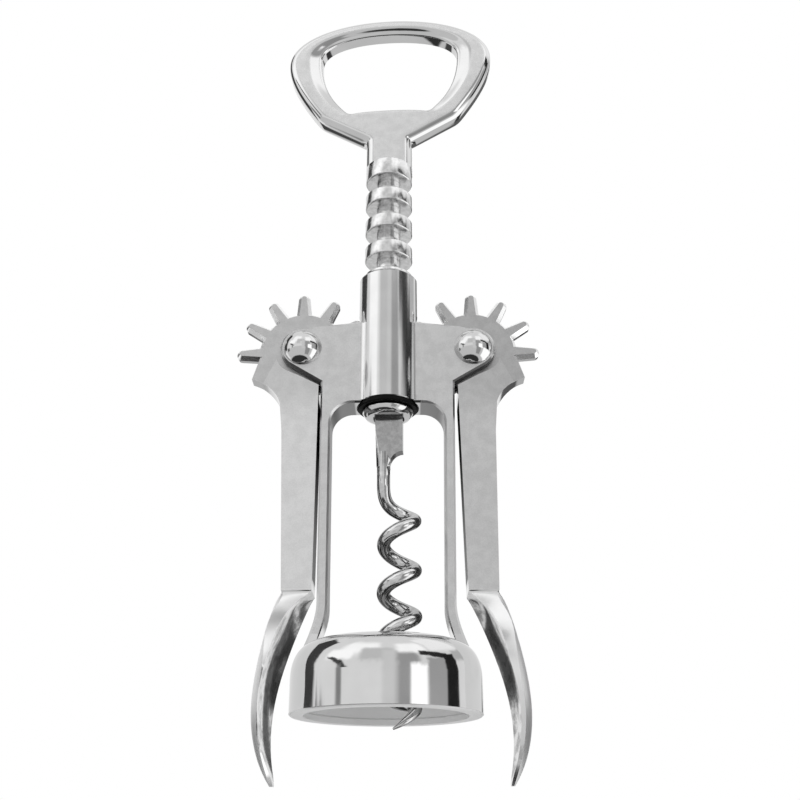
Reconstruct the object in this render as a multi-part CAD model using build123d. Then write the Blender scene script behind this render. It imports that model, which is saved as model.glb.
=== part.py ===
"""Wing corkscrew: a cast frame with a bell, two geared wing levers on rivets, and a
bottle-opener head whose ribbed shaft drives the worm.

Millimetres. The origin is the centre of the bell's mouth, +Z runs up the worm's shaft
towards the opener, and X runs across the two wings. Y is the tool's thickness.
"""
import os
from math import asin, atan2, cos, hypot, pi, radians, sin

from build123d import *

# ---------------------------------------------------------------- driving dimensions

# clearances
RUNNING_GAP = 0.08           # radial, shaft in its bore
SIDE_GAP = 0.15              # gear faces to the slot walls
SEAT_GAP = 0.02              # parts that rest on each other without sticking
CAST_GAP = 1.0               # lever casting to the ear above it at rest
ARM_GAP = 0.6                # lever's arm to the upright beside it
TIP_GAP = 1.22               # gear's tip to the bottom of the rack's grooves
SWEEP_GAP = 0.5              # gear's tip to the end of its slot
RING_ROOM = 0.3              # stop ring to the recess round it
SPARE = 1.0                  # cutters and webs reach this far past a surface

# bell
BELL_R = 20.1                # outer radius
BELL_WALL = 2.6
BELL_SIDE = 7.2              # height of the straight side
BELL_HEIGHT = 14.8           # top of the bell
BELL_CROWN_R = 13.8          # where the rounded shoulder meets the flat top
BELL_FULLNESS = 0.64         # handle length of the shoulder's curve
BELL_TOP_WALL = 2.2
BELL_LIP = 1.2               # height of the thicker lip round the mouth
BELL_LIP_STEP = 0.35
BELL_MOUTH_EDGE = 0.3        # round on the mouth's outer edge
CORK_HOLE_R = 12.2           # lets a cork up between the uprights

# frame plate
FRAME_T = 8.2                # thickness of uprights and crosshead
WINDOW_HALF = 13.1
WINDOW_TOP = 69.0
WINDOW_CORNER_R = 5.0
UPRIGHT_W = 2.45
WINDOW_FOOT_HALF = 12.55     # the window narrows a little towards the bell
UPRIGHT_FOOT_W = 2.3
BEND_TOP = 22.5              # uprights start to splay out to the bell here
BEND_OUT = 2.7
BEND_EASE = 3.5              # how slowly the splay begins
BEND_FOOT = 13.0
HEAD_TOP = 90.0              # top edge of the crosshead beside the barrel
HEAD_CORNER_Z = 74.2         # inner corner under each ear
EAR_R = 5.2
PLATE_EDGE = 0.45            # broken edge round the plate

# barrel
BARREL_R = 7.04
BARREL_BOTTOM = 69.6
BARREL_TOP = 104.2
BARREL_TOP_EDGE = 1.6
BARREL_FOOT_EDGE = 0.15
BARREL_FILLET = 2.4          # hollow corner between the barrel and the plate

# rack shaft and its gears
SHAFT_R = 5.92
PITCH = 7.8                  # from groove to groove
RING_H = 3.85                # height of one rib
RACK_NECK_R = 3.0
RACK_EDGE = 0.35
GROOVE_RISE = 0.7            # slope of each rib's upper flank, from rim to neck
GROOVES = 7
GROOVE_Z = 83.05             # middle of the lowest groove
SHAFT_FOOT = 66.3
FOOT_EDGE = ((1.9, 0.0), (0.75, 0.4), (0.0, 1.5))   # rounded foot, in from the side and up
SHAFT_TOP = 137.2
TEETH_PER_TURN = 12
PIVOT_Z = 83.13
GEAR_T = 3.6
GEAR_ROOT_R = 10.6
GEAR_TIP_R = 15.9
TOOTH_ROOT_HALF = 1.8
TOOTH_TIP_HALF = 1.3
TOOTH_TIP_ROUND = 1.0
TOOTH_BEVEL = 1.2            # depth of the sloping edge that the mould leaves
TOOTH_DRAFT = 33             # degrees, lean of that edge
TOOTH_PHASE = 0.8            # degrees, tooth to groove when the wings hang
TOOTH_FIRST = -120           # degrees from straight up, outwards positive
TOOTH_LAST = 90
HUB_R = 6.6                  # the thick arm stops at this circle round the pivot
HUB_END_TURN = -12.0         # degrees, where the arm leaves that circle on the outside
HUB_RUN = 2.4                # straight edge beside the ear before the circle
HUB_SET_IN = 0.4             # arm's top corner inside the gear's root circle
LEFT_SLACK = -0.7            # degrees, backlash that each wing takes up at rest
RIGHT_SLACK = 0.8

# wing arm, measured outwards and down from the pivot
ARM_T = 8.2
ARM_END = 57.7               # length of the flat arm below the pivot
ARM_END_LEAN = 0.5           # inner edge moves out by this much down the arm
ARM_END_W = 6.55
ARM_SHOULDER = 21.0          # outer edge straightens here
ARM_SHOULDER_OUT = 4.25
ARM_NECK = 14.0
ARM_NECK_OUT = 4.9
NECK_PULL = 0.25             # share of the way at which the hollow edge bends
SPUR_ANGLE = 120.6           # half tooth that ends the gear
SPUR_R = 13.9
SPUR_FLANK = 15.0            # degrees from the half tooth's tip back to its root
RAMP_RUN = 7.2               # length over which the arm thins to the gear
RAMP_START = (1.2, -7.5)     # a point on the line where the arm starts to thin
RAMP_LEAN = 65.0             # degrees, that line to the level
RAMP_REACH = 30.0            # length of the cut beyond it

# thumb pads: height, crown, rim (out, half width), inner rim (out, half width), hollow
# heights from the bell's mouth, the rest outwards from the tool's axis
PAD_STATIONS = (
    (20.3, 25.6, 24.3, 5.6, 19.8, 7.6, 21.9),
    (14.6, 27.0, 25.2, 7.9, 22.2, 8.9, 24.4),
    (8.6, 28.2, 25.5, 9.1, 24.1, 8.9, 26.3),
    (1.8, 28.8, 26.3, 8.7, 25.4, 8.4, 27.0),
    (-4.0, 28.35, 26.3, 7.0, 25.5, 6.6, 26.7),
    (-8.6, 27.1, 25.6, 4.9, 24.9, 4.5, 25.6),
    (-11.8, 25.6, 24.8, 2.7, 24.1, 2.3, 24.3),
    (-13.4, 24.6, 24.3, 1.2, 23.8, 1.0, 23.8),
)

# rivets
RIVET_R = 2.6
RIVET_HEAD_R = 4.5
RIVET_HEAD_H = 3.0
RIVET_BACK_H = 2.2

# opener
OPENER_T = 5.0
OPENER_HALF = 27.6
OPENER_SIDE_Z = 172.5
OPENER_TOP = 186.6
OPENER_CORNER = (18.4, 152.4)
OPENER_NECK_Z = 145.0
HOLE_HALF = 18.5
HOLE_TOP = 181.6
HOLE_FOOT = 154.8
HOLE_CORNER = (10.6, 154.0)
OPENER_ROUND = 2.2           # front edge of the head
OPENER_BACK_ROUND = 0.6
HOLE_ROUND = 0.8
OPENER_TURN = -3.5           # degrees about the shaft, as the head was left
BLADE_SINK = 1.5             # flat shank reaches this far into the round shaft
OPENER_CORNER_EASE = 1.5     # corner rounded over this length on each side
HOLE_CORNER_EASE = 1.2
OPENER_SIDE_PULL = 7.0       # how far the sides stay upright below their widest place
OPENER_CROWN = (0.58, 0.57)  # handles of the top curve, as shares of half width and rise
HOLE_SIDE_LIFT = 1.0         # hole is widest this much above the head's widest place
HOLE_SIDE_PULL = 11.0
HOLE_CROWN = (0.57, 0.66)
HOLE_FOOT_SPAN = 0.6         # handle of the foot's curve, as a share of half width

# worm
WORM_WIRE_R = 1.5
WORM_R = 3.45                # coil radius to the middle of the wire
WORM_PITCH = 10.07
WORM_TOP_PITCH = 11.2        # the top turn is drawn out a little
WORM_TOP_START = 1190.0      # degrees of coil below that turn
WORM_POINT_R = 0.35          # wire at the very tip
WORM_POINT_TURN = 100.0      # degrees of coil over which the wire comes to its point
WORM_OFFSET = 2.7            # coil axis beside the shaft axis
WORM_TIP_Z = -2.7
WORM_TIP_PHASE = -111.0      # degrees, front left of the coil
WORM_LIFT = 1.2              # the first turn rises this far above the even coil
WORM_LIFT_TURN = 240.0       # degrees of coil over which it does
WORM_TURN_TOP = 110.0        # degrees, where the coil leaves for the shank
WORM_TURNS = 4
POINT_STEPS = 12             # sections of the first turn
LEAD_PULL = 3.0              # how stiffly the wire bends from the coil into the stem
STEM_X = -0.9
STEM_FOOT = 51.5
BLADE_FOOT = 54.3
SHANK_W = 6.4
SHANK_SHIFT = 0.35           # flat shank's middle beside the shaft axis
SHANK_T = 2.8
SHANK_DEPTH = 11.0           # length held in the shaft
NOTCH_Z = 58.0
NOTCH_BEND = (0.25, 0.3)     # middle of the notch, shares of its width and height
PIN_R = 1.2
PIN_Z = 73.5

# stop ring
RING_R = 7.0
STOP_H = 1.1
STOP_EDGE = 0.2
STOP_GROOVE = 0.9

# ---------------------------------------------------------------- derived values

PIVOT_X = RACK_NECK_R + TIP_GAP + GEAR_TIP_R
SLOT_T = GEAR_T + 2 * SIDE_GAP
SWEEP_R = GEAR_TIP_R + SWEEP_GAP
BORE_R = SHAFT_R + RUNNING_GAP
BELL_INNER_R = BELL_R - BELL_WALL
UPRIGHT_OUT = WINDOW_HALF + UPRIGHT_W
UPRIGHT_FOOT_OUT = WINDOW_FOOT_HALF + UPRIGHT_FOOT_W
ARM_TOP_IN = UPRIGHT_OUT + ARM_GAP - PIVOT_X   # inner edge beside the upright
ARM_END_IN = ARM_TOP_IN + ARM_END_LEAN
ARM_END_OUT = ARM_END_IN + ARM_END_W
STOP_TOP = BARREL_BOTTOM - SEAT_GAP
SHANK_TOP = SHAFT_FOOT + SHANK_DEPTH


# ---------------------------------------------------------------- helpers

def revolved(edges):
    """Solid turned about Z from profile edges drawn in the XZ plane."""
    return revolve(Plane.XZ * make_face(edges), Axis.Z)


def plate(edges, thickness):
    """Slab of a front-view outline, centred on Y = 0."""
    return extrude(Plane.XZ * make_face(edges), thickness / 2, both=True)


def disc(x, z, radius, thickness):
    """Disc with its axis along Y."""
    return Pos(x, 0, z) * Rot(90, 0, 0) * Cylinder(radius, thickness)


def tangent_point(point, centre, radius, side):
    """Where the line from point touches the circle; side is +1 or -1."""
    dx, dz = centre[0] - point[0], centre[1] - point[1]
    reach = hypot(dx, dz)
    angle = atan2(dz, dx) + side * asin(radius / reach)
    length = (reach ** 2 - radius ** 2) ** 0.5
    return point[0] + length * cos(angle), point[1] + length * sin(angle)


def shoulder(r_out, z_side, r_top, z_top):
    """Full quarter curve from a straight side over to a flat top."""
    return Bezier(
        (r_out, z_side),
        (r_out, z_side + BELL_FULLNESS * (z_top - z_side)),
        (r_top + BELL_FULLNESS * (r_out - r_top), z_top),
        (r_top, z_top),
    )


def edges_at(shape, y):
    """Edges that lie wholly in the plane Y = y."""
    return [e for e in shape.edges()
            if abs(e.bounding_box().min.Y - y) < 1e-4 and abs(e.bounding_box().max.Y - y) < 1e-4]


# ---------------------------------------------------------------- frame casting

def bell():
    """Bell that stands on the bottle's lip, open below and above."""
    top_in = BELL_HEIGHT - BELL_TOP_WALL
    outer = shoulder(BELL_R, BELL_SIDE, BELL_CROWN_R, BELL_HEIGHT)
    inner = shoulder(BELL_INNER_R, BELL_SIDE, CORK_HOLE_R + BELL_LIP_STEP, top_in)
    lip_r = BELL_INNER_R - BELL_LIP_STEP
    profile = [
        Line((lip_r, 0), (BELL_R - BELL_MOUTH_EDGE, 0)),
        Line((BELL_R - BELL_MOUTH_EDGE, 0), (BELL_R, BELL_MOUTH_EDGE)),
        Line((BELL_R, BELL_MOUTH_EDGE), (BELL_R, BELL_SIDE)),
        outer,
        Line((BELL_CROWN_R, BELL_HEIGHT), (CORK_HOLE_R, BELL_HEIGHT)),
        Line((CORK_HOLE_R, BELL_HEIGHT), (CORK_HOLE_R, top_in)),
        Line((CORK_HOLE_R, top_in), (CORK_HOLE_R + BELL_LIP_STEP, top_in)),
        inner,
        Line((BELL_INNER_R, BELL_SIDE), (BELL_INNER_R, BELL_LIP + BELL_LIP_STEP)),
        Line((BELL_INNER_R, BELL_LIP + BELL_LIP_STEP), (lip_r, BELL_LIP)),
        Line((lip_r, BELL_LIP), (lip_r, 0)),
    ]
    return revolved(profile)


def bell_room():
    """Space inside the bell that the uprights' feet must not fill."""
    top_in = BELL_HEIGHT - BELL_TOP_WALL
    return revolved([
        Line((0, 0), (BELL_INNER_R, 0)),
        Line((BELL_INNER_R, 0), (BELL_INNER_R, BELL_SIDE)),
        shoulder(BELL_INNER_R, BELL_SIDE, CORK_HOLE_R + BELL_LIP_STEP, top_in),
        Line((CORK_HOLE_R + BELL_LIP_STEP, top_in), (0, top_in)),
        Line((0, top_in), (0, 0)),
    ])


def half_head():
    """Right half of the crosshead with one ear and one upright."""
    pivot = (PIVOT_X, PIVOT_Z)
    ear_top = tangent_point((BARREL_R, HEAD_TOP), pivot, EAR_R, 1)
    corner = (UPRIGHT_OUT, HEAD_CORNER_Z)
    ear_low = tangent_point(corner, pivot, EAR_R, -1)
    ear_side = (PIVOT_X + EAR_R, PIVOT_Z)
    foot_out = (UPRIGHT_FOOT_OUT + BEND_OUT, BEND_FOOT)
    foot_in = (WINDOW_FOOT_HALF + BEND_OUT, BEND_FOOT)
    knee = BEND_TOP - BEND_EASE
    arc_mid = cos(radians(45)) * WINDOW_CORNER_R
    corner_x, corner_z = WINDOW_HALF - WINDOW_CORNER_R, WINDOW_TOP - WINDOW_CORNER_R
    return [
        Line((0, HEAD_TOP), (BARREL_R, HEAD_TOP)),
        Line((BARREL_R, HEAD_TOP), ear_top),
        ThreePointArc(ear_top, ear_side, ear_low),
        Line(ear_low, corner),
        Line(corner, (UPRIGHT_FOOT_OUT, BEND_TOP)),
        Bezier((UPRIGHT_FOOT_OUT, BEND_TOP), (UPRIGHT_FOOT_OUT, knee), foot_out),
        Line(foot_out, foot_in),
        Bezier(foot_in, (WINDOW_FOOT_HALF, knee), (WINDOW_FOOT_HALF, BEND_TOP)),
        Line((WINDOW_FOOT_HALF, BEND_TOP), (WINDOW_HALF, corner_z)),
        ThreePointArc(
            (WINDOW_HALF, corner_z),
            (corner_x + arc_mid, corner_z + arc_mid),
            (corner_x, WINDOW_TOP),
        ),
        Line((corner_x, WINDOW_TOP), (0, WINDOW_TOP)),
        Line((0, WINDOW_TOP), (0, HEAD_TOP)),
    ]


def barrel():
    """Tube that guides the rack shaft, before its bore."""
    height = BARREL_TOP - BARREL_BOTTOM
    tube = Pos(0, 0, (BARREL_TOP + BARREL_BOTTOM) / 2) * Cylinder(BARREL_R, height)
    tube = chamfer(tube.edges().group_by(Axis.Z)[-1], BARREL_TOP_EDGE)
    return chamfer(tube.edges().group_by(Axis.Z)[0], BARREL_FOOT_EDGE)


def barrel_fillets():
    """Hollow corners where the round barrel grows out of the flat plate."""
    face, reach = FRAME_T / 2, BARREL_R + BARREL_FILLET
    centre = Vector((reach ** 2 - (face + BARREL_FILLET) ** 2) ** 0.5, face + BARREL_FILLET)
    on_plate, on_barrel = Vector(centre.X, face), centre * (BARREL_R / reach)
    inwards = ((on_plate - centre) + (on_barrel - centre)).normalized()
    section = [
        ThreePointArc(on_plate, centre + BARREL_FILLET * inwards, on_barrel),
        Line(on_barrel, (on_barrel.X, face - SPARE)),
        Line((on_barrel.X, face - SPARE), (centre.X, face - SPARE)),
        Line((centre.X, face - SPARE), on_plate),
    ]
    height = HEAD_TOP - PLATE_EDGE - BARREL_BOTTOM
    corner = Pos(0, 0, BARREL_BOTTOM) * extrude(make_face(section), height)
    pair = corner + mirror(corner, Plane.YZ)
    return pair + mirror(pair, Plane.XZ)


def frame_casting():
    half = plate(half_head(), FRAME_T)
    plates = half + mirror(half, Plane.YZ)
    for face in (-FRAME_T / 2, FRAME_T / 2):
        plates = chamfer(edges_at(plates, face), PLATE_EDGE)
    recess = 2 * (BARREL_BOTTOM - WINDOW_TOP)
    plates -= Pos(0, 0, BARREL_BOTTOM - recess / 2) * Cylinder(RING_R + RING_ROOM, recess)
    casting = bell() + (plates - bell_room()) + barrel() + barrel_fillets()
    length = BARREL_TOP - BARREL_BOTTOM + 2 * SPARE
    casting -= Pos(0, 0, (BARREL_TOP + BARREL_BOTTOM) / 2) * Cylinder(BORE_R, length)
    for side in (-1, 1):
        casting -= disc(side * PIVOT_X, PIVOT_Z, SWEEP_R, SLOT_T)
        casting -= disc(side * PIVOT_X, PIVOT_Z, RIVET_R + SEAT_GAP, 2 * FRAME_T)
    return casting


# ---------------------------------------------------------------- wings

def tooth_points():
    """Root, shoulder and tip of one gear tooth that stands straight up, right half."""
    slope = (TOOTH_ROOT_HALF - TOOTH_TIP_HALF) / (GEAR_TIP_R - GEAR_ROOT_R)
    root_z = (GEAR_ROOT_R ** 2 - TOOTH_ROOT_HALF ** 2) ** 0.5
    shoulder_z = GEAR_TIP_R - TOOTH_TIP_ROUND
    shoulder_half = TOOTH_ROOT_HALF - slope * (shoulder_z - root_z)
    return (TOOTH_ROOT_HALF, root_z), (shoulder_half, shoulder_z), (0, GEAR_TIP_R)


def turned(point, angle):
    """Point turned about the pivot, outwards positive."""
    turn = radians(angle)
    x, z = point
    return x * cos(turn) + z * sin(turn), z * cos(turn) - x * sin(turn)


def gear_outline():
    """Teeth and the root circle between them as one closed loop."""
    root, flank, tip = tooth_points()
    step = round(360 / TEETH_PER_TURN)
    angles = [angle + TOOTH_PHASE for angle in range(TOOTH_FIRST, TOOTH_LAST + 1, step)]
    edges = []
    for angle in angles:
        ends = [turned(point, angle) for point in (
            (-root[0], root[1]), (-flank[0], flank[1]), tip, flank, root)]
        edges.append(Line(ends[0], ends[1]))
        edges.append(ThreePointArc(ends[1], ends[2], ends[3]))
        edges.append(Line(ends[3], ends[4]))
    for angle, after in zip(angles, angles[1:] + [angles[0] + 360]):
        start, end = turned(root, angle), turned((-root[0], root[1]), after)
        middle = turned((0, GEAR_ROOT_R), (angle + after) / 2)
        edges.append(ThreePointArc(start, middle, end))
    return edges


def spur_points():
    """Tip and root of the half tooth where the gear meets the arm."""
    tip, root = radians(SPUR_ANGLE), radians(SPUR_ANGLE - SPUR_FLANK)
    return (SPUR_R * sin(tip), SPUR_R * cos(tip)), (GEAR_ROOT_R * sin(root), GEAR_ROOT_R * cos(root))


def neck_curve(spur):
    """Hollow outer edge from the half tooth's tip down to the arm's neck."""
    out = ARM_NECK_OUT + NECK_PULL * (spur[0] - ARM_NECK_OUT)
    return Bezier(spur, (out, spur[1] - NECK_PULL * (ARM_NECK + spur[1])), (ARM_NECK_OUT, -ARM_NECK))


def tongue():
    """Web between the gear and the arm, down to the half tooth."""
    spur, root = spur_points()
    return plate([
        Line((0, 0), root),
        Line(root, spur),
        neck_curve(spur),
        Line((ARM_NECK_OUT, -ARM_NECK), (ARM_TOP_IN + SPARE, -ARM_NECK)),
        Line((ARM_TOP_IN + SPARE, -ARM_NECK), (ARM_TOP_IN + SPARE, 0)),
        Line((ARM_TOP_IN + SPARE, 0), (0, 0)),
    ], GEAR_T)


def gear():
    """Toothed web that turns between the crosshead's plates, its edges bevelled."""
    outline = make_face(gear_outline())
    core_half = GEAR_T / 2 - TOOTH_BEVEL
    web = plate(gear_outline(), 2 * core_half)
    web += extrude(Plane.XZ.offset(core_half) * outline, TOOTH_BEVEL, taper=TOOTH_DRAFT)
    web += extrude(Plane.XZ.offset(-core_half) * outline, -TOOTH_BEVEL, taper=TOOTH_DRAFT)
    return web


def arm_edges():
    """Outline of the thick arm, from the ear's underside to the pad."""
    spur, _ = spur_points()
    corner = (UPRIGHT_OUT - PIVOT_X, HEAD_CORNER_Z - PIVOT_Z)
    ear_low = tangent_point(corner, (0, 0), EAR_R, -1)
    slope = atan2(ear_low[1] - corner[1], ear_low[0] - corner[0])
    drop = CAST_GAP / cos(slope)
    inner_top = (ARM_TOP_IN, corner[1] - drop + (ARM_TOP_IN - corner[0]) * sin(slope) / cos(slope))
    first, last = slope - pi / 2, radians(HUB_END_TURN)
    hub_start = (HUB_R * cos(first), HUB_R * sin(first))
    line_end = (hub_start[0] - HUB_RUN * cos(slope), hub_start[1] - HUB_RUN * sin(slope))
    hub_mid = (HUB_R * cos((first + last) / 2), HUB_R * sin((first + last) / 2))
    hub_end = (HUB_R * cos(last), HUB_R * sin(last))
    return [
        Line(inner_top, line_end),
        Line(line_end, hub_start),
        ThreePointArc(hub_start, hub_mid, hub_end),
        Line(hub_end, (GEAR_ROOT_R - HUB_SET_IN, hub_end[1])),
        Line((GEAR_ROOT_R - HUB_SET_IN, hub_end[1]), spur),
        neck_curve(spur),
        Line((ARM_NECK_OUT, -ARM_NECK), (ARM_SHOULDER_OUT, -ARM_SHOULDER)),
        Line((ARM_SHOULDER_OUT, -ARM_SHOULDER), (ARM_END_OUT, -ARM_END)),
        Line((ARM_END_OUT, -ARM_END), (ARM_END_IN, -ARM_END)),
        Line((ARM_END_IN, -ARM_END), inner_top),
    ]


def ramp_cutter(side):
    """Wedge that thins the arm's upper end down to the gear's face."""
    rise = (ARM_T - GEAR_T) / 2
    section = Polyline(
        (0, 0), (RAMP_RUN, -rise), (RAMP_REACH, -rise), (RAMP_REACH, rise), (0, rise), close=True)
    lean = radians(RAMP_LEAN)
    along = Vector(cos(lean), 0, -sin(lean))
    outward = Vector(sin(lean), 0, cos(lean))
    start = Vector(RAMP_START[0], side * ARM_T / 2, RAMP_START[1])
    frame_plane = Plane(origin=start, x_dir=outward, z_dir=along)
    wedge = extrude(frame_plane * make_face(section), RAMP_REACH, both=True)
    if frame_plane.y_dir.Y * side < 0:
        wedge = mirror(wedge, Plane(origin=frame_plane.origin, z_dir=(0, 1, 0)))
    return wedge


def pad_section(height, crown, rim, rim_half, inner, inner_half, hollow):
    """Level cut through a thumb pad, relative to the pivot's X."""
    points = [
        ((rim - PIVOT_X, -rim_half), (2 * crown - rim - PIVOT_X, 0), (rim - PIVOT_X, rim_half)),
        ((inner - PIVOT_X, inner_half), (2 * hollow - inner - PIVOT_X, 0), (inner - PIVOT_X, -inner_half)),
    ]
    outer, inside = points
    edges = [
        Bezier(*outer),
        Line(outer[2], inside[0]),
        Bezier(*inside),
        Line(inside[2], outer[0]),
    ]
    return Pos(0, 0, height - PIVOT_Z) * make_face(edges)


def thumb_pad():
    """Claw-shaped pad, hollow on its inner side, from the arm's end to the point."""
    half = ARM_T / 2
    out, within = PIVOT_X + ARM_END_OUT, PIVOT_X + ARM_END_IN
    start = pad_section(PIVOT_Z - ARM_END, out, out, half, within, half, within)
    sections = [start] + [pad_section(*station) for station in PAD_STATIONS]
    return loft(sections)


def wing():
    """Right wing about its pivot at the origin, before its backlash turn."""
    arm = plate(arm_edges(), ARM_T)
    for side in (-1, 1):
        arm -= ramp_cutter(side)
    body = gear() + tongue() + arm + thumb_pad()
    return body - disc(0, 0, RIVET_R + RUNNING_GAP, 2 * ARM_T)


def right_lever():
    return Pos(PIVOT_X, 0, PIVOT_Z) * Rot(0, -RIGHT_SLACK, 0) * wing()


def left_lever():
    return Pos(-PIVOT_X, 0, PIVOT_Z) * Rot(0, LEFT_SLACK, 0) * mirror(wing(), Plane.YZ)


def dome_arc(base, height):
    """Arc of a round dome on the rivet's axis, from its top to its rim."""
    ball = (RIVET_HEAD_R ** 2 + height ** 2) / (2 * abs(height))
    half = asin(RIVET_HEAD_R / ball) / 2
    drop = ball * (1 - cos(half))
    middle = (ball * sin(half), base + height - drop * height / abs(height))
    return ThreePointArc((0, base + height), middle, (RIVET_HEAD_R, base))


def rivet(side):
    """Pivot rivet with a domed head in front and a lower dome behind."""
    reach = FRAME_T / 2 + SEAT_GAP
    profile = [
        Line((0, -reach - RIVET_HEAD_H), (0, reach + RIVET_BACK_H)),
        dome_arc(reach, RIVET_BACK_H),
        Line((RIVET_HEAD_R, reach), (RIVET_R, reach)),
        Line((RIVET_R, reach), (RIVET_R, -reach)),
        Line((RIVET_R, -reach), (RIVET_HEAD_R, -reach)),
        dome_arc(-reach, -RIVET_HEAD_H),
    ]
    return Pos(side * PIVOT_X, 0, PIVOT_Z) * revolve(make_face(profile), Axis.Y)


# ---------------------------------------------------------------- opener and rack shaft

def quarter(side, top, side_pull, top_pull):
    """Curve that leaves a side upright and arrives level at the top."""
    return Bezier(side, (side[0], side[1] + side_pull), (top_pull, top[1]), top)


def toward(start, target, length):
    """Point a given length along the line from start to target."""
    reach = hypot(target[0] - start[0], target[1] - start[1])
    share = length / reach
    return start[0] + share * (target[0] - start[0]), start[1] + share * (target[1] - start[1])


def loop(right):
    """Closed outline from the edges right of the axis and their mirror images."""
    left = [mirror(edge, Plane.YZ) for edge in right]
    return Wire([edge for half in right + left for edge in half.edges()])


def opener_outline():
    """Outline of the head and its flat shank, right of the axis."""
    side, top = (OPENER_HALF, OPENER_SIDE_Z), (0, OPENER_TOP)
    neck, foot = (SHAFT_R, OPENER_NECK_Z), (SHAFT_R, SHAFT_TOP - BLADE_SINK)
    rise = OPENER_TOP - OPENER_SIDE_Z
    pull = (OPENER_HALF, OPENER_SIDE_Z - OPENER_SIDE_PULL)
    before = toward(OPENER_CORNER, neck, OPENER_CORNER_EASE)
    after = toward(OPENER_CORNER, pull, OPENER_CORNER_EASE)
    return [
        Line((0, foot[1]), foot),
        Line(foot, neck),
        Line(neck, before),
        Bezier(before, OPENER_CORNER, after),
        Bezier(after, pull, side),
        quarter(side, top, OPENER_CROWN[1] * rise, OPENER_CROWN[0] * OPENER_HALF),
    ]


def opener_hole():
    """Outline of the hole that takes the crown cap, right of the axis."""
    side, top = (HOLE_HALF, OPENER_SIDE_Z + HOLE_SIDE_LIFT), (0, HOLE_TOP)
    rise = HOLE_TOP - side[1]
    foot_pull = (HOLE_FOOT_SPAN * HOLE_CORNER[0], HOLE_FOOT)
    side_pull = (HOLE_HALF, side[1] - HOLE_SIDE_PULL)
    before = toward(HOLE_CORNER, foot_pull, HOLE_CORNER_EASE)
    after = toward(HOLE_CORNER, side_pull, HOLE_CORNER_EASE)
    return [
        Bezier((0, HOLE_FOOT), foot_pull, before),
        Bezier(before, HOLE_CORNER, after),
        Bezier(after, side_pull, side),
        quarter(side, top, HOLE_CROWN[1] * rise, HOLE_CROWN[0] * HOLE_HALF),
    ]


def opener_head():
    face = Face(loop(opener_outline()), [loop(opener_hole())])
    head = extrude(Plane.XZ.offset(-OPENER_T / 2) * face, OPENER_T)
    for place, outer_round in ((0, OPENER_ROUND), (-1, OPENER_BACK_ROUND)):
        side = head.faces().sort_by(Axis.Y)[place]
        rim = [e for e in side.outer_wire().edges() if e.center().Z > SHAFT_TOP]
        head = fillet(rim, outer_round)
        side = head.faces().sort_by(Axis.Y)[place]
        head = fillet(side.inner_wires()[0].edges(), HOLE_ROUND)
    return head


def rack_profile():
    """Half section of the ribbed shaft, with the stop ring's groove near its foot."""
    ring_foot = STOP_TOP - STOP_H
    groove_r = SHAFT_R - STOP_GROOVE
    half = (PITCH - RING_H) / 2
    points = [
        (0, SHAFT_FOOT),
        *((SHAFT_R - inset, SHAFT_FOOT + up) for inset, up in FOOT_EDGE),
        (SHAFT_R, ring_foot - SEAT_GAP),
        (groove_r, ring_foot - SEAT_GAP),
        (groove_r, STOP_TOP + SEAT_GAP),
        (SHAFT_R, STOP_TOP + SEAT_GAP),
    ]
    for index in range(GROOVES):
        middle = GROOVE_Z + index * PITCH
        points += [
            (SHAFT_R, middle - half - RACK_EDGE),
            (SHAFT_R - RACK_EDGE, middle - half),
            (RACK_NECK_R, middle - half + GROOVE_RISE),
            (RACK_NECK_R, middle + half),
            (SHAFT_R - RACK_EDGE, middle + half),
            (SHAFT_R, middle + half + RACK_EDGE),
        ]
    points += [
        (SHAFT_R, SHAFT_TOP - 2 * RACK_EDGE),
        (SHAFT_R - 2 * RACK_EDGE, SHAFT_TOP),
        (0, SHAFT_TOP),
    ]
    return Polyline(*points, close=True)


def opener_shaft():
    shaft = revolved(rack_profile()) + opener_head()
    slot_height = SHANK_DEPTH + SEAT_GAP
    slot = Box(SHANK_W + 2 * SEAT_GAP, SHANK_T + 2 * SEAT_GAP, slot_height)
    shaft -= Pos(SHANK_SHIFT, 0, SHAFT_FOOT + slot_height / 2) * slot
    shaft -= Pos(0, 0, PIN_Z) * Rot(90, 0, 0) * Cylinder(PIN_R, 3 * SHAFT_R)
    return Rot(0, 0, OPENER_TURN) * shaft


# ---------------------------------------------------------------- worm

def coil_lift(turn):
    """Height of the first turn above the even coil, and what it adds to the pitch there."""
    share = 2 * pi * min(turn / WORM_LIFT_TURN, 1)
    return WORM_LIFT * (1 - cos(share)) / 2, 360 * pi * WORM_LIFT * sin(share) / WORM_LIFT_TURN


def coil_point(turn):
    """Middle of the wire at an angle up the coil from the tip."""
    angle = radians(WORM_TIP_PHASE + turn)
    low, high = min(turn, WORM_TOP_START), max(turn - WORM_TOP_START, 0)
    z = WORM_TIP_Z + (WORM_PITCH * low + WORM_TOP_PITCH * high) / 360 + coil_lift(turn)[0]
    return WORM_OFFSET + WORM_R * cos(angle), WORM_R * sin(angle), z


def coil_direction(turn, pitch):
    """Direction of the wire there."""
    angle = radians(WORM_TIP_PHASE + turn)
    return Vector(-WORM_R * sin(angle), WORM_R * cos(angle), pitch / (2 * pi)).normalized()


def wire_section(turn, radius):
    across = Vector(*coil_point(turn)) - Vector(WORM_OFFSET, 0, coil_point(turn)[2])
    direction = coil_direction(turn, WORM_PITCH + coil_lift(turn)[1])
    place = Plane(origin=coil_point(turn), x_dir=across, z_dir=direction)
    return place * Circle(radius)


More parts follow.
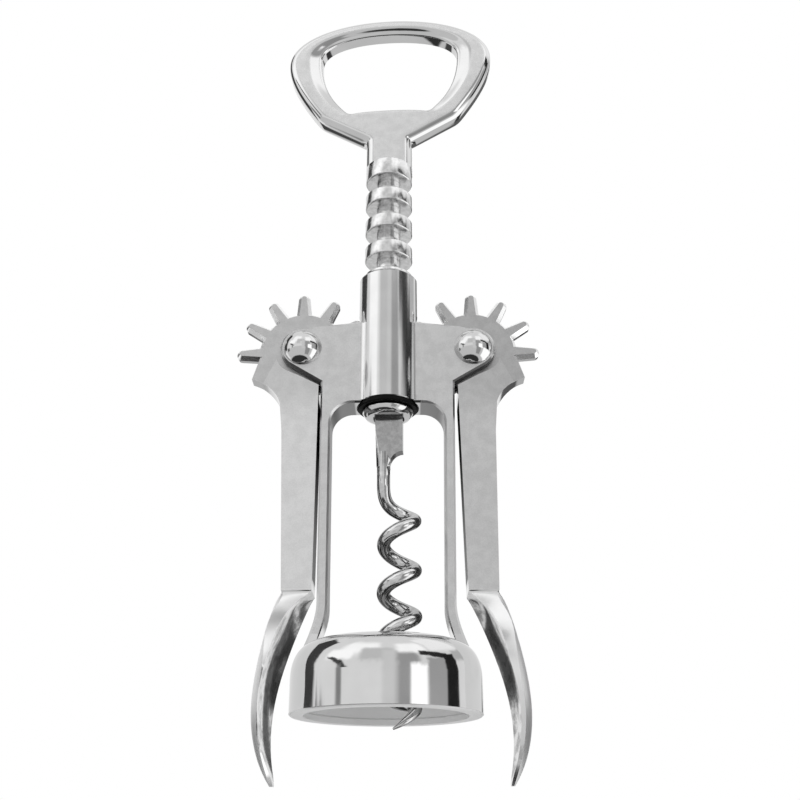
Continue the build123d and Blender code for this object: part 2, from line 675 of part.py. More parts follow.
def worm_point():
    """First turn of the coil, where the wire comes to its point and starts steeply."""
    sections = []
    for step in range(POINT_STEPS + 1):
        turn = step / POINT_STEPS * WORM_LIFT_TURN
        share = min(turn / WORM_POINT_TURN, 1)
        radius = WORM_POINT_R + (WORM_WIRE_R - WORM_POINT_R) * sin(share * pi / 2)
        sections.append(wire_section(turn, radius))
    half = POINT_STEPS // 2
    return loft(sections[:half + 1]) + loft(sections[half:])


def shank():
    """Flat top of the wire, notched where it comes out of the round."""
    wire_left, wire_right = STEM_X - WORM_WIRE_R, STEM_X + WORM_WIRE_R
    left, right = SHANK_SHIFT - SHANK_W / 2, SHANK_SHIFT + SHANK_W / 2
    notch = (wire_right + NOTCH_BEND[0] * (right - wire_right),
             NOTCH_Z - NOTCH_BEND[1] * (NOTCH_Z - BLADE_FOOT))
    blade = plate([
        Line((left, SHANK_TOP), (left, SHAFT_FOOT)),
        Line((left, SHAFT_FOOT), (wire_left, BLADE_FOOT)),
        Line((wire_left, BLADE_FOOT), (wire_right, BLADE_FOOT)),
        ThreePointArc((wire_right, BLADE_FOOT), notch, (right, NOTCH_Z)),
        Line((right, NOTCH_Z), (right, SHANK_TOP)),
        Line((right, SHANK_TOP), (left, SHANK_TOP)),
    ], SHANK_T)
    blade -= Pos(0, 0, PIN_Z) * Rot(90, 0, 0) * Cylinder(PIN_R, 3 * SHAFT_R)
    return Rot(0, 0, OPENER_TURN) * blade


def coil(start, end, pitch):
    """Round wire wound from one angle of the coil to another."""
    helix = Helix(pitch, pitch * (end - start) / 360, WORM_R)
    path = Pos(WORM_OFFSET, 0, coil_point(start)[2]) * Rot(0, 0, WORM_TIP_PHASE + start) * helix
    section = Plane(origin=path @ 0, z_dir=path % 0) * Circle(WORM_WIRE_R)
    return sweep(section, path, is_frenet=True)


def worm():
    turns = 360 * WORM_TURNS + WORM_TURN_TOP - WORM_TIP_PHASE
    wire = worm_point()
    wire += coil(WORM_LIFT_TURN, WORM_TOP_START, WORM_PITCH)
    wire += coil(WORM_TOP_START, turns, WORM_TOP_PITCH)
    top, stem_foot = Vector(*coil_point(turns)), Vector(STEM_X, 0, STEM_FOOT)
    pull = LEAD_PULL * coil_direction(turns, WORM_TOP_PITCH)
    lead = Bezier(top, top + pull, stem_foot - Vector(0, 0, LEAD_PULL), stem_foot)
    wire += sweep(Plane(origin=lead @ 0, z_dir=lead % 0) * Circle(WORM_WIRE_R), lead)
    stem_height = NOTCH_Z - STEM_FOOT
    wire += Pos(STEM_X, 0, STEM_FOOT + stem_height / 2) * Cylinder(WORM_WIRE_R, stem_height)
    return wire + shank()


def worm_pin():
    length = 2 * (SHAFT_R ** 2 - PIN_R ** 2) ** 0.5 - 2 * RUNNING_GAP
    pin = Pos(0, 0, PIN_Z) * Rot(90, 0, 0) * Cylinder(PIN_R - SEAT_GAP, length)
    return Rot(0, 0, OPENER_TURN) * pin


def stop_ring():
    """Rubber ring that stops the shaft against the barrel's foot."""
    inner = SHAFT_R - STOP_GROOVE + SEAT_GAP
    ring = Cylinder(RING_R, STOP_H) - Cylinder(inner, STOP_H + SPARE)
    ring = chamfer(ring.edges().filter_by(GeomType.CIRCLE).sort_by(SortBy.RADIUS)[-2:], STOP_EDGE)
    return Pos(0, 0, STOP_TOP - STOP_H / 2) * ring


# ---------------------------------------------------------------- export

def main():
    os.makedirs("parts", exist_ok=True)
    nodes = {
        "frame_casting": frame_casting(),
        "left_rivet": rivet(-1),
        "right_rivet": rivet(1),
        "left_lever": left_lever(),
        "right_lever": right_lever(),
        "opener_shaft": opener_shaft(),
        "worm": worm(),
        "worm_pin": worm_pin(),
        "stop_ring": stop_ring(),
    }
    for name, shape in nodes.items():
        export_step(shape, f"parts/{name}.step")


main()
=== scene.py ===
"""Wing corkscrew in chrome plate: pieces, finishes and a plain studio."""
import math

import bmesh
import bpy
from mathutils import Matrix, Vector


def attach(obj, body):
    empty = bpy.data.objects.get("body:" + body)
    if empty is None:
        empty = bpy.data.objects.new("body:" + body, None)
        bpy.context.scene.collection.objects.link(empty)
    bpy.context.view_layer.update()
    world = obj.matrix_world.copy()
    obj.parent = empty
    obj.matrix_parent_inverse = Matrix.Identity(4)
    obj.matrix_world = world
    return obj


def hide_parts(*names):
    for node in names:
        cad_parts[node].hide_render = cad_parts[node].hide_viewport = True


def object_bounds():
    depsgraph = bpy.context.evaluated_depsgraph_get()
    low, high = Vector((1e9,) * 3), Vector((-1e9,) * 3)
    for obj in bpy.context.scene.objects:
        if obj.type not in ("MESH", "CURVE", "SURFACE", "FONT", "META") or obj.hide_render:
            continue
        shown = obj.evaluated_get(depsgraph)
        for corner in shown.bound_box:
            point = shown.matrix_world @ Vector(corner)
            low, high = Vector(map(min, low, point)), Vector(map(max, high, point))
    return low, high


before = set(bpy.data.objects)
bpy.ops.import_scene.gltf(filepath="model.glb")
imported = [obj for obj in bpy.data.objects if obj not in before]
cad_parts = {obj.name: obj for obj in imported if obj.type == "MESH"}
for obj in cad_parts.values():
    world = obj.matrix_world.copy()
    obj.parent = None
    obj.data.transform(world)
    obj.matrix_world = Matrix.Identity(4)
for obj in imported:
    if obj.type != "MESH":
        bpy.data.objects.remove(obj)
CAD_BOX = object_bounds()
MM = 0.001

bl_info = {
    "name": "Wing Corkscrew",
    "version": (1, 0, 0),
    "blender": (4, 5, 0),
    "location": "3D View > Sidebar > Corkscrew",
    "description": "Builds a chrome-plated wing corkscrew around its packed solids",
    "category": "Object",
}


# ---------------------------------------------------------------- node helpers

class Tree:
    """Short way to add and wire shader nodes."""

    def __init__(self, tree):
        self.tree = tree

    def add(self, kind, **values):
        node = self.tree.nodes.new(kind)
        for name, value in values.items():
            setattr(node, name, value)
        return node

    def plug(self, value, socket):
        if isinstance(value, bpy.types.NodeSocket):
            self.tree.links.new(value, socket)
        else:
            socket.default_value = value

    def math(self, operation, first, second=None, third=None):
        node = self.add("ShaderNodeMath", operation=operation)
        for socket, value in zip(node.inputs, (first, second, third)):
            if value is not None:
                self.plug(value, socket)
        return node.outputs[0]

    def vector(self, operation, first, second=None):
        node = self.add("ShaderNodeVectorMath", operation=operation)
        self.plug(first, node.inputs[0])
        if second is not None:
            self.plug(second, node.inputs[1])
        return node.outputs[1 if operation == "LENGTH" else 0]

    def split(self, vector):
        node = self.add("ShaderNodeSeparateXYZ")
        self.plug(vector, node.inputs[0])
        return node.outputs

    def ramp(self, value, low, high, to_low=0.0, to_high=1.0):
        """Smooth step between two values, which may run downwards."""
        node = self.add("ShaderNodeMapRange", interpolation_type="SMOOTHSTEP")
        for socket, item in zip(node.inputs, (value, low, high, to_low, to_high)):
            self.plug(item, socket)
        return node.outputs[0]

    def edge(self, value, limits):
        """Mask that is 0 up to the first limit and 1 from the second, both in millimetres."""
        return self.ramp(value, limits[0] * MM, limits[1] * MM)

    def all_of(self, *masks):
        """Mask where all the given masks hold."""
        out = masks[0]
        for mask in masks[1:]:
            out = self.math("MULTIPLY", out, mask)
        return out

    def absolute(self, value):
        """Value without its sign."""
        return self.math("ABSOLUTE", value)

    def mix(self, factor, first, second):
        node = self.add("ShaderNodeMix", data_type="FLOAT")
        for socket, value in zip(node.inputs[:4], (factor, None, first, second)):
            if value is not None:
                self.plug(value, socket)
        return node.outputs[0]

    def noise(self, vector, scale, detail=2.0, roughness=0.5):
        node = self.add("ShaderNodeTexNoise")
        self.plug(vector, node.inputs["Vector"])
        node.inputs["Scale"].default_value = scale
        node.inputs["Detail"].default_value = detail
        node.inputs["Roughness"].default_value = roughness
        return node.outputs["Fac"]


# ---------------------------------------------------------------- finishes

def new_material(name):
    material = bpy.data.materials.new(name)
    material.use_nodes = True
    material.node_tree.nodes.clear()
    return material, Tree(material.node_tree)


def new_group(name, inputs, outputs):
    """Empty shader node group with its sockets, and the helpers to fill it."""
    group = bpy.data.node_groups.new(name, "ShaderNodeTree")
    for label, kind in inputs:
        group.interface.new_socket(name=label, in_out="INPUT", socket_type="NodeSocket" + kind)
    for label, kind in outputs:
        group.interface.new_socket(name=label, in_out="OUTPUT", socket_type="NodeSocket" + kind)
    tree = Tree(group)
    return group, tree, tree.add("NodeGroupInput").outputs, tree.add("NodeGroupOutput").inputs


def use_group(tree, group, **values):
    node = tree.add("ShaderNodeGroup", node_tree=group)
    for name, value in values.items():
        tree.plug(value, node.inputs[name.replace("_", " ")])
    return node.outputs


def mixed_shader(tree, factor, first, second):
    node = tree.add("ShaderNodeMixShader")
    tree.plug(factor, node.inputs[0])
    tree.plug(first.outputs[0], node.inputs[1])
    tree.plug(second.outputs[0], node.inputs[2])
    return node


def plain_grey(tree, kind, level):
    """Shader of one grey."""
    node = tree.add(kind)
    node.inputs["Color"].default_value = (level, level, level, 1.0)
    return node


def finish_material(tree, shader):
    output = tree.add("ShaderNodeOutputMaterial")
    tree.plug(shader.outputs[0], output.inputs[0])


def grey(tree, value):
    """Grey value as a colour socket."""
    node = tree.add("ShaderNodeCombineColor")
    for socket in node.inputs:
        tree.plug(value, socket)
    return node.outputs[0]


def face_mask_group():
    """Mask of the flat front and back faces of a piece, by how square they stand."""
    group, tree, given, out = new_group(
        "flat_faces",
        (("Place", "Vector"), ("Normal", "Vector"), ("Least Depth", "Float"), ("Most Depth", "Float"),
         ("Foot", "Float"), ("Square", "Float")),
        (("Mask", "Float"), ("Outward", "Vector")))
    depth = tree.absolute(tree.split(given["Place"])[1])
    toward = tree.split(given["Normal"])[1]
    facing = tree.absolute(toward)
    mask = tree.ramp(facing, tree.math("SUBTRACT", given["Square"], 0.02), given["Square"])
    foot = tree.ramp(tree.split(given["Place"])[2], given["Foot"],
                     tree.math("ADD", given["Foot"], FACE_FOOT_EDGE * MM))
    behind = tree.math("GREATER_THAN", depth, given["Least Depth"])
    before = tree.math("LESS_THAN", depth, given["Most Depth"])
    tree.plug(tree.all_of(mask, foot, behind, before), out["Mask"])
    outward = tree.add("ShaderNodeCombineXYZ")
    tree.plug(tree.math("SIGN", toward), outward.inputs[1])
    tree.plug(outward.outputs[0], out["Outward"])
    return group


def plate_group():
    """Chrome plate: bright polish, or the satin that tumbling leaves on flat faces."""
    group, tree, given, out = new_group(
        "chrome_plate",
        (("Place", "Vector"), ("Satin", "Float"), ("Satin Tone", "Float")),
        (("Tone", "Float"), ("Roughness", "Float"), ("Height", "Float")))
    place, satin = given["Place"], given["Satin"]
    cloud = tree.noise(place, 420.0, 3.0, 0.6)
    grain = tree.noise(place, 3600.0, 2.0, 0.7)
    stain_and_reflection = tree.noise(place, 150.0, 2.0, 0.5)
    wave = tree.noise(place, 230.0, 2.0, 0.5)
    dull = tree.math("ADD", tree.ramp(cloud, 0.32, 0.68, -0.035, 0.035),
                     tree.ramp(grain, 0.3, 0.7, -0.03, 0.03))
    satin_tone = tree.math("ADD", given["Satin Tone"], dull)
    tone = tree.mix(satin, tree.ramp(stain_and_reflection, 0.3, 0.7, 0.64, 0.68), satin_tone)
    satin_rough = tree.ramp(cloud, 0.3, 0.7, 0.36, 0.44)
    rough = tree.mix(satin, tree.ramp(stain_and_reflection, 0.35, 0.75, 0.05, 0.09), satin_rough)
    height = tree.mix(satin, tree.math("MULTIPLY", wave, 0.25), tree.math("MULTIPLY", cloud, 0.05))
    for name, value in (("Tone", tone), ("Roughness", rough), ("Height", height)):
        tree.plug(value, out[name])
    return group


class Surface:
    """A plated surface: where its points lie, which way they face, and their finish."""

    def __init__(self, tree):
        self.tree = tree
        coordinates = tree.add("ShaderNodeTexCoord")
        self.place, self.normal = coordinates.outputs["Object"], coordinates.outputs["Normal"]
        self.x, self.y, self.z = tree.split(self.place)
        self.to_side, self.to_front, self.to_top = tree.split(self.normal)
        self.satin, self.square_normal = 0.0, None
        self.tone, self.rough, self.metallic, self.specular = 0.0, 0.0, 1.0, 0.5
        self.shading_normal = None    # replaces the normal where a part gives one
        # lit marks where the surface glows as painted light, for some rays
        self.lit = None               # where the surface is plain light, for some rays

    def blend(self, mask, **values):
        """Mix new values into the finish where a mask holds."""
        for name, value in values.items():
            setattr(self, name, self.tree.mix(mask, getattr(self, name), value))

    def dim(self, factor):
        self.tone = self.tree.math("MULTIPLY", self.tone, factor)

    def outward(self):
        """How squarely a face looks away from the tool's middle plane."""
        return self.tree.math("MULTIPLY", self.tree.math("SIGN", self.x), self.to_side)

    def inward(self):
        return self.tree.math("MULTIPLY", self.outward(), -1.0)

    def from_axis(self):
        flat = self.tree.vector("MULTIPLY", self.place, (1.0, 1.0, 0.0))
        return self.tree.vector("LENGTH", flat)


# Where the finishes of the parts begin and end, in millimetres. An edge is a pair: the place
# where its finish hasn't begun, and the place where it is whole.
CREVICE_SHADE_REACH = 1.6
FACE_FOOT_EDGE = 0.3
SIDE_LIGHTS_MEET = 6.0
WEB_DEPTH, GEAR_SHADE = 1.85, (64.0, 74.0)
RIBS_FOOT, RIBS_TOP = (100.0, 101.0), (136.5, 135.5)
SLOT_MIDDLE, SLOT_SIDE, SLOT_TOP, SLOT_FRONT = 0.3, (3.5, 3.1), (68.2, 67.8), (-3.4, -3.0)
PAD_TOP = (25.3, 24.7)
ARM_FOOT, ARM_TOP, ARM_DARKEST, ARM_METAL_ENDS = (26.0, 28.0), (72.0, 70.0), 64.0, 60.0
BELL_WALL, BELL_ROOF, BELL_MOUTH = (17.9, 17.7), (13.0, 12.4), (0.4, 0.1)
UPRIGHT_SIDE, UPRIGHT_FOOT, UPRIGHT_TOP = (7.3, 7.8), (16.5, 19.0), (66.0, 64.0)
EAR_SIDE, EAR_FOOT = (14.2, 14.8), (63.0, 64.0)
BARREL_FOOT, BARREL_SIDE = (66.0, 68.0), (7.9, 7.5)
BLADE_FOOT = (53.0, 56.0)
BUMP_DISTANCE, BUMP_STRENGTH, PAD_LIGHT = 0.05, 0.25, 0.85


def squared_faces(surface):
    """Shade the satin faces as truly flat, so that the bevels beside them don't bend them."""
    tree = surface.tree
    blend = tree.add("ShaderNodeMix", data_type="VECTOR")
    tree.plug(surface.satin, blend.inputs[0])
    tree.plug(surface.normal, blend.inputs[4])
    tree.plug(surface.square_normal, blend.inputs[5])
    turn = tree.add("ShaderNodeVectorTransform", vector_type="NORMAL",
                    convert_from="OBJECT", convert_to="WORLD")
    tree.plug(blend.outputs[1], turn.inputs[0])
    surface.shading_normal = turn.outputs[0]


def gear_teeth(surface):
    """Darker web, painted shade higher up the gear, and a painted highlight on the soft bevel round its
    teeth.
    """
    tree = surface.tree
    facing = tree.absolute(surface.to_front)
    web = tree.math("LESS_THAN", tree.absolute(surface.y), WEB_DEPTH * MM)
    bevel_highlight = tree.all_of(tree.ramp(facing, 0.35, 0.45), tree.ramp(facing, 0.7, 0.6), web)
    surface.dim(tree.mix(web, 1.0, 0.9))
    surface.dim(tree.ramp(surface.z, GEAR_SHADE[0] * MM, GEAR_SHADE[1] * MM, 1.0, 0.84))
    # painted highlight: the bevel round the teeth made pale
    surface.blend(bevel_highlight, tone=0.98, rough=0.3)


def rack_ribs(surface):
    """Cast skin on the rack's ribs, and painted shadow in the slot that takes the worm's blade."""
    tree = surface.tree
    skin = tree.noise(surface.place, 800.0, 3.0, 0.6)
    ribs = tree.all_of(tree.edge(surface.z, RIBS_TOP), tree.edge(surface.z, RIBS_FOOT))
    surface.blend(ribs, rough=tree.ramp(skin, 0.3, 0.7, 0.14, 0.24))
    # painted shadow under the shaft's foot, round the worm's blade
    off_middle = tree.absolute(tree.math("SUBTRACT", surface.x, SLOT_MIDDLE * MM))
    slot = tree.all_of(tree.edge(surface.z, SLOT_TOP), tree.edge(off_middle, SLOT_SIDE),
                       tree.ramp(surface.to_top, -0.3, -0.8), tree.edge(surface.y, SLOT_FRONT))
    surface.blend(slot, tone=0.09, rough=0.5)
    surface.dim(tree.mix(ribs, 1.0, tree.ramp(skin, 0.3, 0.7, 0.95, 1.2)))


def thumb_pads(surface):
    """Lighter, rougher shell, and stains with a painted dark reflection in the hollow of the pads, which glow
    as painted light in the reflections of other pieces.
    """
    tree = surface.tree
    pad = tree.edge(surface.z, PAD_TOP)
    hollow = tree.all_of(pad, tree.ramp(surface.inward(), 0.3, 0.6))
    surface.blend(tree.math("SUBTRACT", pad, hollow), rough=0.38, tone=0.86)
    # painted dark reflection mixed with stains in the hollow
    stain_and_reflection = tree.noise(surface.place, 330.0, 4.0, 0.65)
    surface.blend(hollow, tone=tree.ramp(stain_and_reflection, 0.36, 0.6, 0.3, 0.72),
                  rough=tree.ramp(stain_and_reflection, 0.3, 0.7, 0.2, 0.1))
    # painted light: the pads glow for glossy rays, so other pieces reflect them as plain light
    surface.lit = tree.all_of(pad, tree.add("ShaderNodeLightPath").outputs["Is Glossy Ray"])


def arm_wall_shade(surface):
    """Walls of the arms towards the uprights: painted shade, darker upwards, and less metallic. unplated, and
    darker upwards.
    """
    tree = surface.tree
    wall = tree.all_of(tree.ramp(surface.inward(), 0.3, 0.45), tree.edge(surface.z, ARM_FOOT),
                       tree.edge(surface.z, ARM_TOP))
    foot = ARM_FOOT[1] * MM
    # painted shade: the walls' tone falls towards black higher up
    surface.blend(wall, tone=tree.ramp(surface.z, foot, ARM_DARKEST * MM, 0.34, 0.02),
                  metallic=tree.ramp(surface.z, foot, ARM_METAL_ENDS * MM, 0.22, 0.0), specular=0.0)


def bell_inside(surface):
    """Bare, dull casting inside the bell and on its foot."""
    tree = surface.tree
    inside = tree.all_of(tree.edge(surface.from_axis(), BELL_WALL), tree.edge(surface.z, BELL_ROOF))
    bare = tree.math("MAXIMUM", inside, tree.edge(surface.z, BELL_MOUTH))
    surface.blend(bare, rough=0.5, tone=0.8, metallic=0.25)


def frame_edges(surface):
    """Edges of the uprights and ears: painted shade on the walls, painted highlights on the outer bevels and
    painted shade on the undersides.
    """
    tree = surface.tree
    outside = tree.absolute(surface.x)
    edges = tree.all_of(tree.edge(outside, UPRIGHT_SIDE), tree.edge(surface.z, UPRIGHT_FOOT),
                        tree.math("SUBTRACT", 1.0, surface.satin))
    surface.blend(edges, rough=0.34)
    wall_shade = tree.all_of(edges, tree.ramp(tree.absolute(surface.to_front), 0.3, 0.1))
    # painted shade on the side walls, where the gaps beside the arms are dark
    surface.blend(wall_shade, tone=0.27)
    outward = surface.outward()
    bevels = tree.all_of(edges, tree.ramp(outward, 0.35, 0.5), tree.ramp(outward, 0.95, 0.85),
                         tree.edge(surface.z, UPRIGHT_TOP))
    # painted highlight on the outer bevels
    surface.blend(bevels, tone=0.85, metallic=0.2)
    under_shade = tree.all_of(edges, tree.edge(outside, EAR_SIDE), tree.edge(surface.z, EAR_FOOT),
                        tree.ramp(surface.to_top, -0.25, -0.45))
    # painted shade under the ears
    surface.blend(under_shade, tone=0.1)


def barrel_wall(surface):
    """Slightly brushed barrel."""
    tree = surface.tree
    barrel = tree.all_of(tree.edge(surface.z, BARREL_FOOT), tree.edge(surface.from_axis(), BARREL_SIDE))
    surface.blend(barrel, rough=0.13)


def plated(name, satin=None, tones=(0.61, 0.61), parts=()):
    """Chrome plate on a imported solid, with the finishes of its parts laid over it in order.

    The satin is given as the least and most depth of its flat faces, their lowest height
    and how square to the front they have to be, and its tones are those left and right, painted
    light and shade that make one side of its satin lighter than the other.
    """
    material, tree = new_material(name)
    surface = Surface(tree)
    if satin:
        least, most, foot, square = satin
        faces = use_group(tree, bpy.data.node_groups["flat_faces"], Place=surface.place,
                          Normal=surface.normal, Least_Depth=least * MM, Most_Depth=most * MM,
                          Foot=foot * MM, Square=square)
        surface.satin, surface.square_normal = faces["Mask"], faces["Outward"]
    # painted light and shade: the satin's tone runs from its left side to its right
    sides = tree.ramp(surface.x, -SIDE_LIGHTS_MEET * MM, SIDE_LIGHTS_MEET * MM, *tones)
    plate = use_group(tree, bpy.data.node_groups["chrome_plate"], Place=surface.place,
                      Satin=surface.satin, Satin_Tone=sides)
    surface.tone, surface.rough = plate["Tone"], plate["Roughness"]
    # painted shade: darker where ambient occlusion finds crevices, corners and gaps between parts
    crevice_shade = tree.add("ShaderNodeAmbientOcclusion", samples=8)
    crevice_shade.inputs["Distance"].default_value = CREVICE_SHADE_REACH * MM
    surface.dim(tree.ramp(crevice_shade.outputs["AO"], 0.12, 0.62, 0.04, 1.0))
    for part in parts:
        part(surface)
    bump = tree.add("ShaderNodeBump")
    bump.inputs["Strength"].default_value = BUMP_STRENGTH
    bump.inputs["Distance"].default_value = BUMP_DISTANCE * MM
    tree.plug(plate["Height"], bump.inputs["Height"])
    if surface.shading_normal:
        tree.plug(surface.shading_normal, bump.inputs["Normal"])
    shader = tree.add("ShaderNodeBsdfPrincipled")
    tree.plug(surface.metallic, shader.inputs["Metallic"])
    tree.plug(surface.specular, shader.inputs["Specular IOR Level"])
    tree.plug(grey(tree, surface.tone), shader.inputs["Base Color"])
    tree.plug(surface.rough, shader.inputs["Roughness"])
    tree.plug(bump.outputs["Normal"], shader.inputs["Normal"])
    if surface.lit:
        light = plain_grey(tree, "ShaderNodeEmission", PAD_LIGHT)
        shader = mixed_shader(tree, surface.lit, shader, light)
    finish_material(tree, shader)
    return material


def wire_steel(name):
    """Smoky steel wire with painted shade where it faces sideways, and the blade at its top left dull by the
    press.
    """
    material, tree = new_material(name)
    coordinates = tree.add("ShaderNodeTexCoord")
    place = coordinates.outputs["Object"]
    facing = tree.absolute(tree.split(coordinates.outputs["Normal"])[1])
    smoke = tree.noise(place, 900.0, 2.0, 0.6)
    # painted shade: dark where the wire faces sideways, light where it faces front or back
    tone = tree.mix(tree.ramp(facing, 0.25, 0.8), 0.16, 0.7)
    blade = tree.all_of(tree.ramp(facing, 0.9, 0.98), tree.edge(tree.split(place)[2], BLADE_FOOT))
    tone = tree.mix(blade, tone, 0.46)
    tone = tree.math("MULTIPLY", tone, tree.ramp(smoke, 0.3, 0.7, 0.8, 1.0))
    shader = tree.add("ShaderNodeBsdfPrincipled")
    shader.inputs["Metallic"].default_value = 1.0
    tree.plug(grey(tree, tone), shader.inputs["Base Color"])
    tree.plug(tree.ramp(smoke, 0.3, 0.7, 0.09, 0.16), shader.inputs["Roughness"])
    finish_material(tree, shader)
    return material


def plain(name, level, roughness, metallic=0.0):
    """One grey, slightly worn in places."""
    material, tree = new_material(name)
    place = tree.add("ShaderNodeTexCoord").outputs["Object"]
    wear = tree.ramp(tree.noise(place, 700.0, 3.0, 0.6), 0.3, 0.7, 0.75, 1.15)
    shader = tree.add("ShaderNodeBsdfPrincipled")
    tree.plug(grey(tree, tree.math("MULTIPLY", wear, level)), shader.inputs["Base Color"])
    tree.plug(tree.math("MULTIPLY", wear, roughness), shader.inputs["Roughness"])
    shader.inputs["Specular IOR Level"].default_value = 0.12
    shader.inputs["Metallic"].default_value = metallic
    finish_material(tree, shader)
    return material


def dress(node, material):
    """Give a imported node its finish."""
    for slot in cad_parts[node].material_slots:
        slot.material = material


# ---------------------------------------------------------------- studio

# Cards of the studio, each laid over those before it: azimuth from the front at eye level, half
# width, azimuth gained per degree of height, height and half height, height gained per degree of
# azimuth, all in degrees, then the softness of the edges and the brightness.
CARDS = (
    # the room below eye level, and its ceiling
    (0, 200, 0.0, -45, 45, 0.0, 6, 0.72),
    (0, 200, 0.0, 78, 26, 0.0, 16, 0.94),
    # soft boxes overhead
    (-36, 20, 0.0, 46, 8, 0.0, 16, 1.35),
    (36, 14, 0.0, 45, 8, 0.0, 12, 1.35),
    (-60, 14, 0.0, 30, 5, 0.0, 8, 1.40),
    (90, 24, 0.0, 54, 12, 0.0, 8, 1.20),
    # pale greys in front
    (-10, 18, 0.0, 32, 9, 0.0, 9, 0.72),
    (6, 5, 0.0, 14, 22, 0.0, 8, 0.80),
    # lights low at the sides
    (85, 24, 0.0, -22, 20, 0.0, 7, 1.50),
    (-112, 12, 0.0, -12, 14, 0.0, 6, 1.10),
    # a grey in front, and dark cards at the left, straight below and low behind
    (30, 9, 0.0, -16, 22, 0.0, 8, 0.36),
    (-82, 6, 0.0, 0, 5, 0.0, 3, 0.14),
    (-20, 130, 0.0, -82, 32, -0.155, 5, 0.04),
    (128, 14, 0.0, -6, 8, 0.2, 5, 0.05),
    (-138, 12, 0.0, -8, 8, -0.2, 5, 0.07),
    # a bright window at the right between two greys, its dark head and post, and a grey behind
    (27, 9, 0.0, 17, 12, 0.0, 10, 0.42),
    (42, 11, 0.0, 5, 8, 0.0, 4, 1.55),
    (65, 11, 0.0, 12, 9, 0.0, 6, 0.46),
    (64, 19, 0.0, 30.5, 3.5, -0.2, 3.5, 0.03),
    (86, 8, 0.0, 16, 13, 0.0, 3, 0.02),
    (110, 12, 0.0, 28, 4, 0.0, 6, 0.60),
    # dark posts behind at both sides, and at the left a leaning card and a thin line
    (-111.5, 17, 0.0, 30, 24, 0.0, 3, 0.06),
    (150, 8, 0.0, 15, 22, 0.0, 4, 0.14),
    (-28, 4, -1.8, 17.5, 5, 0.0, 3, 0.06),
    (-56.5, 0.8, 0.0, 8, 4, 0.0, 4, 0.30),
)
ROOM_LEVEL, DIFFUSE_LEVEL, FLOOR_GLOW, PAPER = 0.95, 0.8, 0.8, 0.9
AZIMUTH_RIPPLE, HEIGHT_RIPPLE = 4.5, 4.0    # degrees by which the cards' edges wander
FLOOR_HALF, FLOOR_GAP = 1500.0, 0.3         # millimetres
CAMERA_PLACE = (4.637, -214.173, -22.791)   # millimetres
CAMERA_TILT, CAMERA_TURN = 23.713, 0.481    # degrees upward and to the left


def room_light(tree):
    """Brightness of the room in each direction, with the cards laid over one another."""
    way = tree.add("ShaderNodeTexCoord").outputs["Generated"]
    x, y, z = tree.split(way)
    turn = tree.math("ARCTAN2", x, tree.math("MULTIPLY", y, -1.0))
    azimuth, height = (
        tree.math("ADD", tree.math("DEGREES", angle),
                  tree.math("MULTIPLY_ADD", tree.noise(way, scale, 4.0, 0.65), 2 * ripple, -ripple))
        for angle, scale, ripple in ((turn, 5.0, AZIMUTH_RIPPLE),
                                     (tree.math("ARCSINE", z), 6.5, HEIGHT_RIPPLE)))
    level = ROOM_LEVEL
    for centre, half, lean, mid, tall, tilt, soft, bright in CARDS:
        upright_line = tree.math("MULTIPLY_ADD", height, lean, centre)
        off = tree.absolute(tree.math("SUBTRACT", azimuth, upright_line))
        across = tree.ramp(off, half, half + soft, 1.0, 0.0)
        level_line = tree.math("MULTIPLY_ADD", azimuth, tilt, mid - tilt * centre)
        rise = tree.absolute(tree.math("SUBTRACT", height, level_line))
        along = tree.ramp(rise, tall, tall + soft, 1.0, 0.0)
        level = tree.mix(tree.all_of(across, along), level, bright)
    return level


def studio_world():
    """White behind the tool, the cards in its reflections, and even light on what is dull."""
    world = bpy.data.worlds.new("studio")
    bpy.context.scene.world = world
    world.use_nodes = True
    world.node_tree.nodes.clear()
    tree = Tree(world.node_tree)
    path = tree.add("ShaderNodeLightPath").outputs
    room = tree.add("ShaderNodeBackground")
    tree.plug(grey(tree, room_light(tree)), room.inputs["Color"])
    even = plain_grey(tree, "ShaderNodeBackground", DIFFUSE_LEVEL)
    white = plain_grey(tree, "ShaderNodeBackground", 1.0)
    lights = mixed_shader(tree, path["Is Glossy Ray"], even, room)
    result = mixed_shader(tree, path["Is Camera Ray"], lights, white)
    output = tree.add("ShaderNodeOutputWorld")
    tree.plug(result.outputs[0], output.inputs[0])


def floor_material():
    """Pale paper, not seen from underneath or in reflections, that lights evenly from below."""
    material, tree = new_material("paper_floor")
    path = tree.add("ShaderNodeLightPath").outputs
    paper = plain_grey(tree, "ShaderNodeBsdfDiffuse", PAPER)
    glow = plain_grey(tree, "ShaderNodeEmission", FLOOR_GLOW)
    clear = tree.add("ShaderNodeBsdfTransparent")
    behind = tree.add("ShaderNodeNewGeometry").outputs["Backfacing"]
    lit = mixed_shader(tree, path["Is Diffuse Ray"], paper, glow)
    hidden = tree.math("MAXIMUM", path["Is Glossy Ray"], behind)
    finish_material(tree, mixed_shader(tree, hidden, lit, clear))
    return material


def add_floor():
    level, half = CAD_BOX[0][2] - FLOOR_GAP * MM, FLOOR_HALF * MM
    corners = [(-half, -half, level), (half, -half, level), (half, half, level), (-half, half, level)]
    mesh = bpy.data.meshes.new("floor")
    mesh.from_pydata(corners, [], [(0, 1, 2, 3)])
    mesh.materials.append(floor_material())
    floor = bpy.data.objects.new("floor", mesh)
    bpy.context.scene.collection.objects.link(floor)


